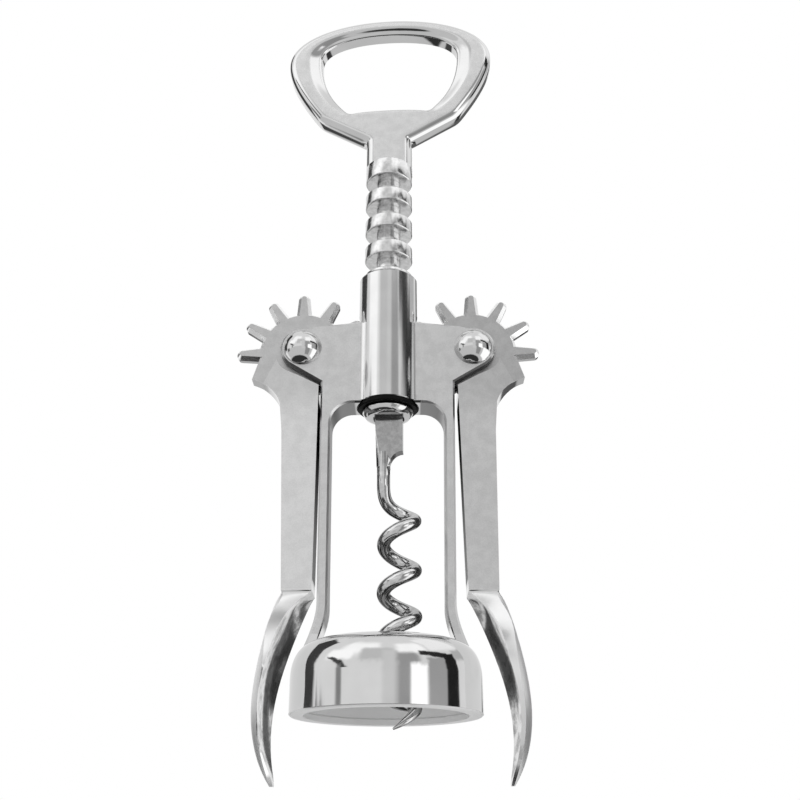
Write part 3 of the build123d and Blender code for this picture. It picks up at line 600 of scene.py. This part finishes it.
def add_camera(lens):
    camera = bpy.data.cameras.new("camera")
    camera.lens = lens
    camera.sensor_width = 36.0
    camera.clip_start = 0.01
    eye = bpy.data.objects.new("camera", camera)
    eye.location = Vector(CAMERA_PLACE) * MM
    eye.rotation_euler = (math.radians(90 + CAMERA_TILT), 0.0, math.radians(CAMERA_TURN))
    bpy.context.scene.collection.objects.link(eye)
    bpy.context.scene.camera = eye


class CORKSCREW_OT_stage(bpy.types.Operator):
    """Floor, studio light and camera"""
    bl_idname = "corkscrew.stage"
    bl_label = "Stage"

    def execute(self, context):
        add_floor()
        studio_world()
        add_camera(context.scene.corkscrew.lens)
        context.scene.view_settings.view_transform = "Standard"
        return {"FINISHED"}


class CORKSCREW_OT_finish_nodes(bpy.types.Operator):
    """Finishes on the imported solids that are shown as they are"""
    bl_idname = "corkscrew.finish_nodes"
    bl_label = "Finish packed solids"

    def execute(self, context):
        face_mask_group()
        plate_group()
        frame_plate = plated("frame_plate", (4.0, 4.2, 16.0, 0.985), (0.66, 0.64),
                             (bell_inside, frame_edges, barrel_wall))
        lever_plate = plated("lever_plate", (1.7, 4.2, 25.4, 0.95), (0.76, 0.64),
                             (squared_faces, gear_teeth, thumb_pads, arm_wall_shade))
        opener_plate = plated("opener_plate", (0.0, 5.0, 130.0, 0.99), (0.72, 0.72), (rack_ribs,))
        polish = plated("rivet_polish")
        dress("frame_casting", frame_plate)
        dress("left_rivet", polish)
        dress("right_rivet", polish)
        dress("left_lever", lever_plate)
        dress("right_lever", lever_plate)
        dress("opener_shaft", opener_plate)
        dress("worm", wire_steel("worm_steel"))
        dress("worm_pin", plain("pin_steel", 0.6, 0.3, 1.0))
        dress("stop_ring", plain("black_rubber", 0.003, 0.6))
        return {"FINISHED"}


# ---------------------------------------------------------------- pieces

DRESSED_SHARP, PACKED_SHARP = 40, 30    # angles in degrees above which an edge is sharp


def new_piece(name, mesh, material, sharp):
    """Object from a bmesh, smooth with sharp edges above an angle."""
    data = bpy.data.meshes.new(name)
    mesh.to_mesh(data)
    mesh.free()
    data.materials.append(material)
    data.polygons.foreach_set("use_smooth", [True] * len(data.polygons))
    data.set_sharp_from_angle(angle=math.radians(sharp))
    piece = bpy.data.objects.new(name, data)
    bpy.context.scene.collection.objects.link(piece)
    return piece


def flatten_shading(piece):
    """Let the large faces of a merged copy set the shading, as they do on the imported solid."""
    modifier = piece.modifiers.new("shading", "WEIGHTED_NORMAL")
    modifier.weight, modifier.keep_sharp = 100, True
    bpy.context.view_layer.update()
    made = piece.evaluated_get(bpy.context.evaluated_depsgraph_get())
    data = bpy.data.meshes.new_from_object(made)
    piece.modifiers.clear()
    piece.data = data
    return piece


def cut_level(mesh, level, keep_below=True):
    """Cut a mesh off level at a height in millimetres and close it there."""
    cut = bmesh.ops.bisect_plane(mesh, geom=mesh.verts[:] + mesh.edges[:] + mesh.faces[:],
                                 plane_co=(0, 0, level * MM), plane_no=(0, 0, 1 if keep_below else -1),
                                 clear_outer=True)
    rim = [item for item in cut["geom_cut"] if isinstance(item, bmesh.types.BMEdge)]
    bmesh.ops.holes_fill(mesh, edges=rim, sides=0)


def packed_copy(node, name, material, level, keep_below=True):
    """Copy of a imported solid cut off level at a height, for a piece built onto it."""
    mesh = bmesh.new()
    mesh.from_mesh(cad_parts[node].data)
    bmesh.ops.remove_doubles(mesh, verts=mesh.verts, dist=1e-7)
    cut_level(mesh, level, keep_below)
    return flatten_shading(new_piece(name, mesh, material, PACKED_SHARP))


# ---------------------------------------------------------------- opener head

# Outlines right of the axis, in millimetres: the points that they pass, and how far on each
# side of a corner its rounding begins.
HEAD_FOOT, HEAD_NECK, HEAD_CORNER = (5.92, 135.7), (5.92, 145.0), (18.4, 152.4)
HEAD_SIDE, HEAD_TOP, HEAD_EASE = (27.6, 172.5), (0.0, 186.6), 1.5
HOLE_FOOT, HOLE_CORNER, HOLE_EASE = (0.0, 154.8), (10.6, 154.0), 1.2
HOLE_SIDE, HOLE_TOP = (18.5, 173.5), (0.0, 181.6)
SIDE_COUNT, CROWN_COUNT = 26, 44    # points along the sides and crown of both outlines
SHAFT_TOP = 137.35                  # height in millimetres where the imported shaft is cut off
HEAD_TURN = -3.5                    # degrees about the tool's axis
# The head's section, in millimetres: its roundings, then as shares of the dome how high it
# stands at the hole and how far it sags halfway, and the power by which it falls to the rim.
FRONT_ROUND, BACK_ROUND, HOLE_ROUND = 2.2, 0.6, 0.8
DOME_AT_HOLE, DOME_SAG, DOME_POWER = 0.9, 0.3, 1.6
RING_LEAD, RING_BLEND = 6, 22       # points before the ring and over which its dome grows


def bezier(points, count):
    """Points on a Bezier curve of any degree, without its last one."""
    out = []
    for step in range(count):
        row, t = [Vector(point) for point in points], step / count
        while len(row) > 1:
            row = [a.lerp(b, t) for a, b in zip(row, row[1:])]
        out.append(row[0])
    return out


def eased(corner, before, after, ease):
    """Start, handle and end of the curve that rounds a corner."""
    corner = Vector(corner)
    start = corner + (Vector(before) - corner).normalized() * ease
    end = corner + (Vector(after) - corner).normalized() * ease
    return start, corner, end


def head_outline():
    """Right half of the head's outline from its foot to its top, and the index where its ring begins."""
    pull = (HEAD_SIDE[0], HEAD_SIDE[1] - 7.0)
    rise = HEAD_TOP[1] - HEAD_SIDE[1]
    start, corner, end = eased(HEAD_CORNER, HEAD_NECK, pull, HEAD_EASE)
    points = bezier((HEAD_FOOT, HEAD_NECK), 6) + [Vector(HEAD_NECK)] * 7
    points += bezier((HEAD_NECK, start), 9)[1:] + bezier((start, corner, end), 5)
    ring = len(points)
    points += bezier((end, pull, HEAD_SIDE), SIDE_COUNT)
    crown = ((HEAD_SIDE[0], HEAD_SIDE[1] + 0.57 * rise), (0.58 * HEAD_SIDE[0], HEAD_TOP[1]))
    points += bezier((HEAD_SIDE, *crown, HEAD_TOP), CROWN_COUNT) + [Vector(HEAD_TOP)]
    return points, ring


def hole_outline(foot_count):
    """Right half of the hole's outline, with as many points to its foot as the head has."""
    pull, rise = (HOLE_SIDE[0], HOLE_SIDE[1] - 11.0), HOLE_TOP[1] - HOLE_SIDE[1]
    foot_pull = (0.6 * HOLE_CORNER[0], HOLE_FOOT[1])
    start, corner, end = eased(HOLE_CORNER, foot_pull, pull, HOLE_EASE)
    points = bezier((HOLE_FOOT, foot_pull, start), foot_count - 5) + bezier((start, corner, end), 5)
    points += bezier((end, pull, HOLE_SIDE), SIDE_COUNT)
    crown = ((HOLE_SIDE[0], HOLE_SIDE[1] + 0.66 * rise), (0.57 * HOLE_SIDE[0], HOLE_TOP[1]))
    return points + bezier((HOLE_SIDE, *crown, HOLE_TOP), CROWN_COUNT) + [Vector(HOLE_TOP)]


def edge_normals(points, side):
    """Normals in the plane, with those of a repeated point fanned out between its neighbours."""
    count, normals = len(points), []
    for index in range(count):
        low, high = index, index
        while low > 0 and (points[low] - points[index]).length < 1e-6:
            low -= 1
        while high < count - 1 and (points[high] - points[index]).length < 1e-6:
            high += 1
        first, last = points[index] - points[low], points[high] - points[index]
        share = (index - low - 0.5) / max(high - low - 1, 1) if high - low > 2 else 0.5
        first = first.normalized() if first.length > 0 else last.normalized()
        last = last.normalized() if last.length > 0 else first
        along = first.lerp(last, share).normalized()
        normals.append(Vector((-along.y, along.x)) * side)
    return normals


def quarter_turn(count):
    """Angles of a rounding in so many points, from nothing to a quarter turn."""
    return [math.pi / 2 * step / (count - 1) for step in range(count)]


def head_section(edge, edge_normal, hole, hole_normal, thickness, dome):
    """Cross-section of the head from the hole round the front, the rim and the back."""
    half = thickness / 2
    inner, outer = hole + hole_normal * HOLE_ROUND, edge + edge_normal * FRONT_ROUND
    row = []
    for turn in quarter_turn(5):
        place = hole + hole_normal * HOLE_ROUND * (1 - math.cos(turn))
        row.append((place, -half + HOLE_ROUND * (1 - math.sin(turn)) + dome * DOME_AT_HOLE))
    for step in range(1, 12):
        share = step / 12
        lift = DOME_AT_HOLE * (1 - share) ** DOME_POWER - DOME_SAG * math.sin(math.pi * share) ** 2
        row.append((inner.lerp(outer, share), -half + dome * lift))
    for turn in quarter_turn(8):
        place = edge + edge_normal * FRONT_ROUND * (1 - math.sin(turn))
        row.append((place, -half + FRONT_ROUND * (1 - math.cos(turn))))
    for turn in quarter_turn(3):
        place = edge + edge_normal * BACK_ROUND * (1 - math.cos(turn))
        row.append((place, half - BACK_ROUND * (1 - math.sin(turn))))
    row.append((hole + hole_normal * BACK_ROUND, half))
    row.append((hole, half - BACK_ROUND))
    return row


def head_rows(thickness, dome):
    """Sections of the head's right half from its foot to its top."""
    edge, ring = head_outline()
    hole = hole_outline(ring)
    if len(edge) != len(hole):
        raise RuntimeError("the head's two outlines differ in length")
    edge_normal, hole_normal = edge_normals(edge, 1), edge_normals(hole, -1)
    # on the axis the normals stand upright, so that both halves meet
    edge_normal[-1], hole_normal[-1], hole_normal[0] = Vector((0, -1)), Vector((0, 1)), Vector((0, -1))
    rows = []
    for index in range(len(edge)):
        share = min(max((index - ring + RING_LEAD) / RING_BLEND, 0), 1)
        share = share * share * (3 - 2 * share)
        rows.append(head_section(edge[index], edge_normal[index], hole[index], hole_normal[index],
                                 thickness, dome * share))
    return rows


def head_mesh(rows):
    """Closed mesh of the head from the sections of its right half."""
    mesh = bmesh.new()
    turn = Matrix.Rotation(math.radians(HEAD_TURN), 3, "Z")
    right, left = (
        [[mesh.verts.new(turn @ Vector((side * point.x, depth, point.y)) * MM) for point, depth in row]
         for row in rows]
        for side in (1, -1))
    left[-1] = right[-1]
    for half, flip in ((right, False), (left, True)):
        for first, second in zip(half, half[1:]):
            for a, b, c, d in zip(first, second, second[1:] + second[:1], first[1:] + first[:1]):
                mesh.faces.new((a, d, c, b) if flip else (a, b, c, d))
    for index, (a, b) in enumerate(zip(right[0], right[0][1:] + right[0][:1])):
        c, d = left[0][(index + 1) % len(left[0])], left[0][index]
        mesh.faces.new((a, b, c, d))
    bmesh.ops.remove_doubles(mesh, verts=mesh.verts, dist=1e-7)
    bmesh.ops.dissolve_degenerate(mesh, edges=mesh.edges, dist=1e-7)
    bmesh.ops.recalc_face_normals(mesh, faces=mesh.faces)
    return mesh


class CORKSCREW_OT_opener(bpy.types.Operator):
    """Bottle-opener head with its rounded ring, above the ribbed shaft"""
    bl_idname = "corkscrew.opener"
    bl_label = "Opener head"

    def execute(self, context):
        settings = context.scene.corkscrew
        plate = bpy.data.materials["opener_plate"]
        rows = head_rows(settings.head_thickness / MM, settings.head_dome / MM)
        head = new_piece("opener_head", head_mesh(rows), plate, DRESSED_SHARP)
        shaft = packed_copy("opener_shaft", "rack_shaft", plate, SHAFT_TOP)
        for piece in (head, shaft):
            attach(piece, "screw")
            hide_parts("opener_shaft")
        return {"FINISHED"}


# ---------------------------------------------------------------- wings

# Thumb pad by height in millimetres: outside at the middle, its edge, inside at the middle,
# the inside's edge, half the width, and how far the front half is bent outward.
PAD_ROWS = (
    (25.4, 23.2, 21.6, 18.0, 16.6, 4.2, 0.0),
    (24.0, 23.6, 22.1, 18.7, 17.2, 4.4, 0.7),
    (22.0, 24.4, 22.8, 20.3, 18.2, 6.2, 1.1),
    (20.0, 24.9, 23.6, 21.2, 19.2, 7.8, 1.4),
    (16.0, 25.8, 24.4, 23.0, 20.9, 8.9, 1.6),
    (12.0, 26.7, 24.4, 24.5, 22.3, 8.9, 1.6),
    (8.0, 27.4, 24.6, 25.5, 23.3, 9.1, 1.5),
    (4.0, 27.7, 25.1, 25.9, 24.1, 9.0, 1.35),
    (0.0, 27.8, 25.4, 26.0, 24.5, 8.3, 1.15),
    (-4.0, 27.3, 25.3, 25.6, 24.4, 7.0, 0.9),
    (-8.0, 26.2, 24.6, 24.7, 23.9, 5.1, 0.5),
    (-12.0, 24.0, 23.5, 22.8, 22.8, 2.5, 0.0),
)
BEND_OUTSIDE, BEND_POWER = 0.25, 1.5    # share of the bend that the outside takes, and its growth


def pad_row(height):
    """Row of the thumb pad at a height, or None above and below it."""
    if height >= PAD_ROWS[0][0]:
        return None
    for upper, lower in zip(PAD_ROWS, PAD_ROWS[1:]):
        if height >= lower[0]:
            share = (height - lower[0]) / (upper[0] - lower[0])
            return [low + (high - low) * share for high, low in zip(upper[1:], lower[1:])]
    return None


def bend_pad(place):
    """Outward shift of a point on the front half of a thumb pad."""
    across, depth, height = abs(place.x) / MM, place.y / MM, place.z / MM
    row = pad_row(height)
    if row is None or depth >= 0:
        return 0.0
    crown, edge, inner, inner_edge, half, shift = row
    share = min(-depth / half, 1.0)
    outside = crown + (edge - crown) * share ** 2
    inside = inner + (inner_edge - inner) * share ** 2
    through = min(max((outside - across) / max(outside - inside, 0.1), 0.0), 1.0)
    return shift * (BEND_OUTSIDE + (1 - BEND_OUTSIDE) * through) * share ** BEND_POWER * MM


class CORKSCREW_OT_wings(bpy.types.Operator):
    """Wings with the front rim of each thumb pad bent outward"""
    bl_idname = "corkscrew.wings"
    bl_label = "Wings"

    def execute(self, context):
        for side, name in ((-1, "left"), (1, "right")):
            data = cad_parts[name + "_lever"].data.copy()
            for vertex in data.vertices:
                vertex.co.x += side * bend_pad(vertex.co)
            data.materials.clear()
            data.materials.append(bpy.data.materials["lever_plate"])
            wing = bpy.data.objects.new(name + "_wing_arm", data)
            context.scene.collection.objects.link(wing)
            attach(wing, name + "_wing")
            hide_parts(name + "_lever")
        return {"FINISHED"}


# ---------------------------------------------------------------- worm

COIL_STEPS, WIRE_SIDES = 620, 28
# The helix, wound upward from its point: lengths, and turns in degrees.
COIL_SIZES = {
    "Pitch": 10.07 * MM, "Top Pitch": 11.2 * MM, "Top Start": 1190.0, "Radius": 3.45 * MM,
    "Offset": 2.7 * MM, "Foot": -2.7 * MM, "Phase": -111.0, "Lift": 1.2 * MM, "Lift Turn": 240.0,
    "Point": 0.22 * MM, "Turn": 1661.0,
}
COIL_CUT = 40.0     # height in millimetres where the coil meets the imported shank


def coil_nodes():
    """Geometry nodes that wind a pointed wire, from named sizes."""
    group = bpy.data.node_groups.new("coil_maker", "GeometryNodeTree")
    for name in (*COIL_SIZES, "Wire", "Point Turn"):
        group.interface.new_socket(name, in_out="INPUT", socket_type="NodeSocketFloat")
    group.interface.new_socket("Material", in_out="INPUT", socket_type="NodeSocketMaterial")
    group.interface.new_socket("Geometry", in_out="OUTPUT", socket_type="NodeSocketGeometry")
    tree = Tree(group)
    given = tree.add("NodeGroupInput").outputs
    index = tree.add("GeometryNodeInputIndex").outputs[0]
    turn = tree.math("MULTIPLY", tree.math("DIVIDE", index, COIL_STEPS - 1.0), given["Turn"])
    angle = tree.math("RADIANS", tree.math("ADD", turn, given["Phase"]))
    low = tree.math("MULTIPLY", tree.math("MINIMUM", turn, given["Top Start"]), given["Pitch"])
    high = tree.math("MAXIMUM", tree.math("SUBTRACT", turn, given["Top Start"]), 0.0)
    climb = tree.math("DIVIDE", tree.math("ADD", low, tree.math("MULTIPLY", high, given["Top Pitch"])), 360.0)
    swing = tree.math("MULTIPLY", tree.math("MINIMUM", tree.math("DIVIDE", turn, given["Lift Turn"]), 1.0),
                      2.0 * math.pi)
    lift = tree.math("MULTIPLY", given["Lift"],
                     tree.math("MULTIPLY_ADD", tree.math("COSINE", swing), -0.5, 0.5))
    middle = tree.add("ShaderNodeCombineXYZ")
    tree.plug(tree.math("MULTIPLY_ADD", tree.math("COSINE", angle), given["Radius"], given["Offset"]),
              middle.inputs[0])
    tree.plug(tree.math("MULTIPLY", tree.math("SINE", angle), given["Radius"]), middle.inputs[1])
    tree.plug(tree.math("ADD", given["Foot"], tree.math("ADD", climb, lift)), middle.inputs[2])
    near = tree.math("MINIMUM", tree.math("DIVIDE", turn, given["Point Turn"]), 1.0)
    full = tree.math("SINE", tree.math("MULTIPLY", near, math.pi / 2))
    thick = tree.math("MULTIPLY_ADD", full, tree.math("SUBTRACT", given["Wire"], given["Point"]),
                      given["Point"])
    line = tree.add("GeometryNodeCurvePrimitiveLine")
    split = tree.add("GeometryNodeResampleCurve")
    split.inputs["Count"].default_value = COIL_STEPS
    tree.plug(line.outputs[0], split.inputs["Curve"])
    placed = tree.add("GeometryNodeSetPosition")
    tree.plug(split.outputs[0], placed.inputs["Geometry"])
    tree.plug(middle.outputs[0], placed.inputs["Position"])
    round_wire = tree.add("GeometryNodeCurvePrimitiveCircle")
    round_wire.inputs["Resolution"].default_value = WIRE_SIDES
    wire = tree.add("GeometryNodeCurveToMesh")
    wire.inputs["Fill Caps"].default_value = True
    tree.plug(placed.outputs[0], wire.inputs["Curve"])
    tree.plug(thick, wire.inputs["Scale"])
    tree.plug(round_wire.outputs[0], wire.inputs["Profile Curve"])
    real = tree.add("GeometryNodeRealizeInstances")
    tree.plug(wire.outputs[0], real.inputs[0])
    finish = tree.add("GeometryNodeSetMaterial")
    tree.plug(real.outputs[0], finish.inputs["Geometry"])
    tree.plug(given["Material"], finish.inputs["Material"])
    tree.plug(finish.outputs[0], tree.add("NodeGroupOutput").inputs[0])
    return group


def made_by_nodes(name, group, values):
    """Plain mesh of what a geometry node group makes from named values."""
    maker = bpy.data.objects.new(name, bpy.data.meshes.new(name))
    bpy.context.scene.collection.objects.link(maker)
    modifier = maker.modifiers.new("maker", "NODES")
    modifier.node_group = group
    for item in group.interface.items_tree:
        if item.name in values:
            modifier[item.identifier] = values[item.name]
    bpy.context.view_layer.update()
    made = maker.evaluated_get(bpy.context.evaluated_depsgraph_get())
    mesh = bmesh.new()
    mesh.from_mesh(bpy.data.meshes.new_from_object(made))
    bpy.data.objects.remove(maker)
    if not mesh.verts:
        raise RuntimeError("the coil's nodes made nothing")
    return mesh


class CORKSCREW_OT_worm(bpy.types.Operator):
    """Worm wound to its point, below its pressed shank"""
    bl_idname = "corkscrew.worm"
    bl_label = "Worm"

    def execute(self, context):
        settings = context.scene.corkscrew
        steel = bpy.data.materials["worm_steel"]
        values = dict(COIL_SIZES, Material=steel)
        values["Wire"] = settings.worm_wire / 2
        values["Point Turn"] = math.degrees(settings.worm_point)
        mesh = made_by_nodes("coil_maker", coil_nodes(), values)
        cut_level(mesh, COIL_CUT)
        bmesh.ops.recalc_face_normals(mesh, faces=mesh.faces)
        coil = new_piece("worm_coil", mesh, steel, DRESSED_SHARP)
        shank = packed_copy("worm", "worm_shank", steel, COIL_CUT, keep_below=False)
        for piece in (coil, shank):
            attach(piece, "screw")
            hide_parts("worm")
        return {"FINISHED"}


# ---------------------------------------------------------------- settings and panel

class CorkscrewSettings(bpy.types.PropertyGroup):
    lens: bpy.props.FloatProperty(
        name="Lens", description="Focal length of the camera", default=44.84, min=10.0, unit="CAMERA")
    head_thickness: bpy.props.FloatProperty(
        name="Head Thickness", description="Thickness of the opener's head", default=5.0 * MM,
        min=2.0 * MM, subtype="DISTANCE")
    head_dome: bpy.props.FloatProperty(
        name="Head Dome", description="How far the ring falls away to its hole", default=1.1 * MM,
        min=0.0, subtype="DISTANCE")
    worm_wire: bpy.props.FloatProperty(
        name="Worm Wire", description="Thickness of the worm's wire", default=3.0 * MM,
        min=1.0 * MM, subtype="DISTANCE")
    worm_point: bpy.props.FloatProperty(
        name="Worm Point", description="Turn over which the wire comes to its point",
        default=math.radians(170.0), min=math.radians(10.0), subtype="ANGLE")


SETTINGS = ("lens", "head_thickness", "head_dome", "worm_wire", "worm_point")


class CORKSCREW_PT_panel(bpy.types.Panel):
    """Pieces of the corkscrew"""
    bl_label = "Wing Corkscrew"
    bl_idname = "CORKSCREW_PT_panel"
    bl_space_type = "VIEW_3D"
    bl_region_type = "UI"
    bl_category = "Corkscrew"

    def draw(self, context):
        for name in SETTINGS:
            self.layout.prop(context.scene.corkscrew, name)
        for operator in OPERATORS:
            self.layout.operator(operator.bl_idname)


OPERATORS = (CORKSCREW_OT_stage, CORKSCREW_OT_finish_nodes, CORKSCREW_OT_opener,
             CORKSCREW_OT_wings, CORKSCREW_OT_worm)
CLASSES = (CorkscrewSettings, *OPERATORS, CORKSCREW_PT_panel)


def register():
    for item in CLASSES:
        bpy.utils.register_class(item)
    bpy.types.Scene.corkscrew = bpy.props.PointerProperty(type=CorkscrewSettings)


def unregister():
    del bpy.types.Scene.corkscrew
    for item in reversed(CLASSES):
        bpy.utils.unregister_class(item)


def main():
    register()
    bpy.ops.corkscrew.stage()
    bpy.ops.corkscrew.finish_nodes()
    bpy.ops.corkscrew.opener()
    bpy.ops.corkscrew.wings()
    bpy.ops.corkscrew.worm()


if __name__ == "__main__":
    main()
